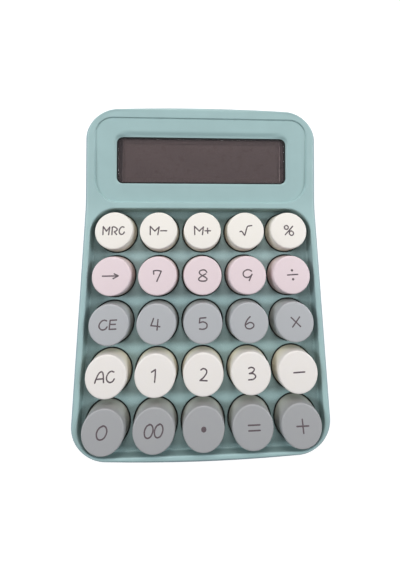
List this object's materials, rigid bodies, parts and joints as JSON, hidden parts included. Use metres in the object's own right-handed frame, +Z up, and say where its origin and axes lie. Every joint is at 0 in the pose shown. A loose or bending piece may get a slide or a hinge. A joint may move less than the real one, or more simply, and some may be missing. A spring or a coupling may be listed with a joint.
{
  "type": "electronic calculator",
  "caption": "Desk calculator with round, tapered keys in a sunk tray and a sloping display, on rubber feet.",
  "frame": {"origin": "middle of the footprint, on the surface that the feet stand on", "axes": "+Z up, +Y from the user towards the display, +X to the right of the user"},
  "size_m": [0.1112, 0.1546, 0.0383],
  "materials": {
    "mint_plastic": "satin moulded plastic, pale mint",
    "smoked_lens": "glossy smoked lens with a black edge",
    "lcd_glass": "grey liquid crystal glass, switched off",
    "inner_plastic": "plain white plastic",
    "ribbon_film": "amber flexible film",
    "silicone": "translucent grey silicone",
    "board_laminate": "green laminate",
    "keycap_warm_white": "smooth satin plastic, warm white",
    "keycap_pink": "smooth satin plastic, pale pink",
    "keycap_grey": "smooth satin plastic, light grey",
    "keycap_white": "smooth satin plastic, white",
    "keycap_dark_grey": "smooth satin plastic, grey",
    "screw_steel": "plain steel",
    "foot_rubber": "matte dark rubber",
    "chip_epoxy": "black epoxy blob",
    "capacitor_can": "sleeved can, dark blue",
    "cell_jacket": "plain printed foil, grey",
    "contact_nickel": "nickel plated spring steel",
    "wire_black": "black insulation",
    "wire_red": "red insulation"
  },
  "bodies": {
    "housing": {"upper_housing": "mint_plastic", "lower_housing": "mint_plastic", "display_window": "smoked_lens", "lcd_panel": "lcd_glass", "lcd_cradle": "inner_plastic", "display_ribbon": "ribbon_film", "rubber_dome_mat": "silicone", "circuit_board": "board_laminate", "board_screw_1": "screw_steel", "board_screw_2": "screw_steel", "board_screw_3": "screw_steel", "board_screw_4": "screw_steel", "board_screw_5": "screw_steel", "board_screw_6": "screw_steel", "case_screw_front_left": "screw_steel", "case_screw_front_right": "screw_steel", "case_screw_middle_left": "screw_steel", "case_screw_middle_right": "screw_steel", "case_screw_rear_left": "screw_steel", "case_screw_rear_right": "screw_steel", "cradle_screw_left": "screw_steel", "cradle_screw_right": "screw_steel", "foot_front_left": "foot_rubber", "foot_front_right": "foot_rubber", "foot_rear_left": "foot_rubber", "foot_rear_right": "foot_rubber", "controller_chip": "chip_epoxy", "capacitor": "capacitor_can", "battery_cell": "cell_jacket", "battery_spring_contact": "contact_nickel", "battery_plate_contact": "contact_nickel", "battery_wire_black": "wire_black", "battery_wire_red": "wire_red"},
    "key_memory_recall": {"key_memory_recall": "keycap_warm_white"},
    "key_memory_minus": {"key_memory_minus": "keycap_warm_white"},
    "key_memory_plus": {"key_memory_plus": "keycap_warm_white"},
    "key_square_root": {"key_square_root": "keycap_warm_white"},
    "key_percent": {"key_percent": "keycap_warm_white"},
    "key_backspace": {"key_backspace": "keycap_pink"},
    "key_seven": {"key_seven": "keycap_pink"},
    "key_eight": {"key_eight": "keycap_pink"},
    "key_nine": {"key_nine": "keycap_pink"},
    "key_divide": {"key_divide": "keycap_pink"},
    "key_clear_entry": {"key_clear_entry": "keycap_grey"},
    "key_four": {"key_four": "keycap_grey"},
    "key_five": {"key_five": "keycap_grey"},
    "key_six": {"key_six": "keycap_grey"},
    "key_multiply": {"key_multiply": "keycap_grey"},
    "key_all_clear": {"key_all_clear": "keycap_white"},
    "key_one": {"key_one": "keycap_white"},
    "key_two": {"key_two": "keycap_white"},
    "key_three": {"key_three": "keycap_white"},
    "key_minus": {"key_minus": "keycap_white"},
    "key_zero": {"key_zero": "keycap_dark_grey"},
    "key_double_zero": {"key_double_zero": "keycap_dark_grey"},
    "key_point": {"key_point": "keycap_dark_grey"},
    "key_equals": {"key_equals": "keycap_dark_grey"},
    "key_plus": {"key_plus": "keycap_dark_grey"},
    "battery_door": {"battery_door": "mint_plastic"}
  },
  "joints": [
    {"name": "press_memory_recall", "type": "slide", "parent": "housing", "child": "key_memory_recall", "axis": [0, 0.0523, -0.9986], "range_m": [0, 0.0025], "stiffness_N_per_m": 200, "springref_m": -0.0005, "deforming": ["rubber_dome_mat"]},
    {"name": "press_memory_minus", "type": "slide", "parent": "housing", "child": "key_memory_minus", "axis": [0, 0.0523, -0.9986], "range_m": [0, 0.0025], "stiffness_N_per_m": 200, "springref_m": -0.0005, "deforming": ["rubber_dome_mat"]},
    {"name": "press_memory_plus", "type": "slide", "parent": "housing", "child": "key_memory_plus", "axis": [0, 0.0523, -0.9986], "range_m": [0, 0.0025], "stiffness_N_per_m": 200, "springref_m": -0.0005, "deforming": ["rubber_dome_mat"]},
    {"name": "press_square_root", "type": "slide", "parent": "housing", "child": "key_square_root", "axis": [0, 0.0523, -0.9986], "range_m": [0, 0.0025], "stiffness_N_per_m": 200, "springref_m": -0.0005, "deforming": ["rubber_dome_mat"]},
    {"name": "press_percent", "type": "slide", "parent": "housing", "child": "key_percent", "axis": [0, 0.0523, -0.9986], "range_m": [0, 0.0025], "stiffness_N_per_m": 200, "springref_m": -0.0005, "deforming": ["rubber_dome_mat"]},
    {"name": "press_backspace", "type": "slide", "parent": "housing", "child": "key_backspace", "axis": [0, 0.0523, -0.9986], "range_m": [0, 0.0025], "stiffness_N_per_m": 200, "springref_m": -0.0005, "deforming": ["rubber_dome_mat"]},
    {"name": "press_seven", "type": "slide", "parent": "housing", "child": "key_seven", "axis": [0, 0.0523, -0.9986], "range_m": [0, 0.0025], "stiffness_N_per_m": 200, "springref_m": -0.0005, "deforming": ["rubber_dome_mat"]},
    {"name": "press_eight", "type": "slide", "parent": "housing", "child": "key_eight", "axis": [0, 0.0523, -0.9986], "range_m": [0, 0.0025], "stiffness_N_per_m": 200, "springref_m": -0.0005, "deforming": ["rubber_dome_mat"]},
    {"name": "press_nine", "type": "slide", "parent": "housing", "child": "key_nine", "axis": [0, 0.0523, -0.9986], "range_m": [0, 0.0025], "stiffness_N_per_m": 200, "springref_m": -0.0005, "deforming": ["rubber_dome_mat"]},
    {"name": "press_divide", "type": "slide", "parent": "housing", "child": "key_divide", "axis": [0, 0.0523, -0.9986], "range_m": [0, 0.0025], "stiffness_N_per_m": 200, "springref_m": -0.0005, "deforming": ["rubber_dome_mat"]},
    {"name": "press_clear_entry", "type": "slide", "parent": "housing", "child": "key_clear_entry", "axis": [0, 0.0523, -0.9986], "range_m": [0, 0.0025], "stiffness_N_per_m": 200, "springref_m": -0.0005, "deforming": ["rubber_dome_mat"]},
    {"name": "press_four", "type": "slide", "parent": "housing", "child": "key_four", "axis": [0, 0.0523, -0.9986], "range_m": [0, 0.0025], "stiffness_N_per_m": 200, "springref_m": -0.0005, "deforming": ["rubber_dome_mat"]},
    {"name": "press_five", "type": "slide", "parent": "housing", "child": "key_five", "axis": [0, 0.0523, -0.9986], "range_m": [0, 0.0025], "stiffness_N_per_m": 200, "springref_m": -0.0005, "deforming": ["rubber_dome_mat"]},
    {"name": "press_six", "type": "slide", "parent": "housing", "child": "key_six", "axis": [0, 0.0523, -0.9986], "range_m": [0, 0.0025], "stiffness_N_per_m": 200, "springref_m": -0.0005, "deforming": ["rubber_dome_mat"]},
    {"name": "press_multiply", "type": "slide", "parent": "housing", "child": "key_multiply", "axis": [0, 0.0523, -0.9986], "range_m": [0, 0.0025], "stiffness_N_per_m": 200, "springref_m": -0.0005, "deforming": ["rubber_dome_mat"]},
    {"name": "press_all_clear", "type": "slide", "parent": "housing", "child": "key_all_clear", "axis": [0, 0.0523, -0.9986], "range_m": [0, 0.0025], "stiffness_N_per_m": 200, "springref_m": -0.0005, "deforming": ["rubber_dome_mat"]},
    {"name": "press_one", "type": "slide", "parent": "housing", "child": "key_one", "axis": [0, 0.0523, -0.9986], "range_m": [0, 0.0025], "stiffness_N_per_m": 200, "springref_m": -0.0005, "deforming": ["rubber_dome_mat"]},
    {"name": "press_two", "type": "slide", "parent": "housing", "child": "key_two", "axis": [0, 0.0523, -0.9986], "range_m": [0, 0.0025], "stiffness_N_per_m": 200, "springref_m": -0.0005, "deforming": ["rubber_dome_mat"]},
    {"name": "press_three", "type": "slide", "parent": "housing", "child": "key_three", "axis": [0, 0.0523, -0.9986], "range_m": [0, 0.0025], "stiffness_N_per_m": 200, "springref_m": -0.0005, "deforming": ["rubber_dome_mat"]},
    {"name": "press_minus", "type": "slide", "parent": "housing", "child": "key_minus", "axis": [0, 0.0523, -0.9986], "range_m": [0, 0.0025], "stiffness_N_per_m": 200, "springref_m": -0.0005, "deforming": ["rubber_dome_mat"]},
    {"name": "press_zero", "type": "slide", "parent": "housing", "child": "key_zero", "axis": [0, 0.0523, -0.9986], "range_m": [0, 0.0025], "stiffness_N_per_m": 200, "springref_m": -0.0005, "deforming": ["rubber_dome_mat"]},
    {"name": "press_double_zero", "type": "slide", "parent": "housing", "child": "key_double_zero", "axis": [0, 0.0523, -0.9986], "range_m": [0, 0.0025], "stiffness_N_per_m": 200, "springref_m": -0.0005, "deforming": ["rubber_dome_mat"]},
    {"name": "press_point", "type": "slide", "parent": "housing", "child": "key_point", "axis": [0, 0.0523, -0.9986], "range_m": [0, 0.0025], "stiffness_N_per_m": 200, "springref_m": -0.0005, "deforming": ["rubber_dome_mat"]},
    {"name": "press_equals", "type": "slide", "parent": "housing", "child": "key_equals", "axis": [0, 0.0523, -0.9986], "range_m": [0, 0.0025], "stiffness_N_per_m": 200, "springref_m": -0.0005, "deforming": ["rubber_dome_mat"]},
    {"name": "press_plus", "type": "slide", "parent": "housing", "child": "key_plus", "axis": [0, 0.0523, -0.9986], "range_m": [0, 0.0025], "stiffness_N_per_m": 200, "springref_m": -0.0005, "deforming": ["rubber_dome_mat"]},
    {"name": "battery_door_slide", "type": "slide", "parent": "housing", "child": "battery_door", "axis": [0, 1, 0], "range_m": [0, 0.022]}
  ]
}
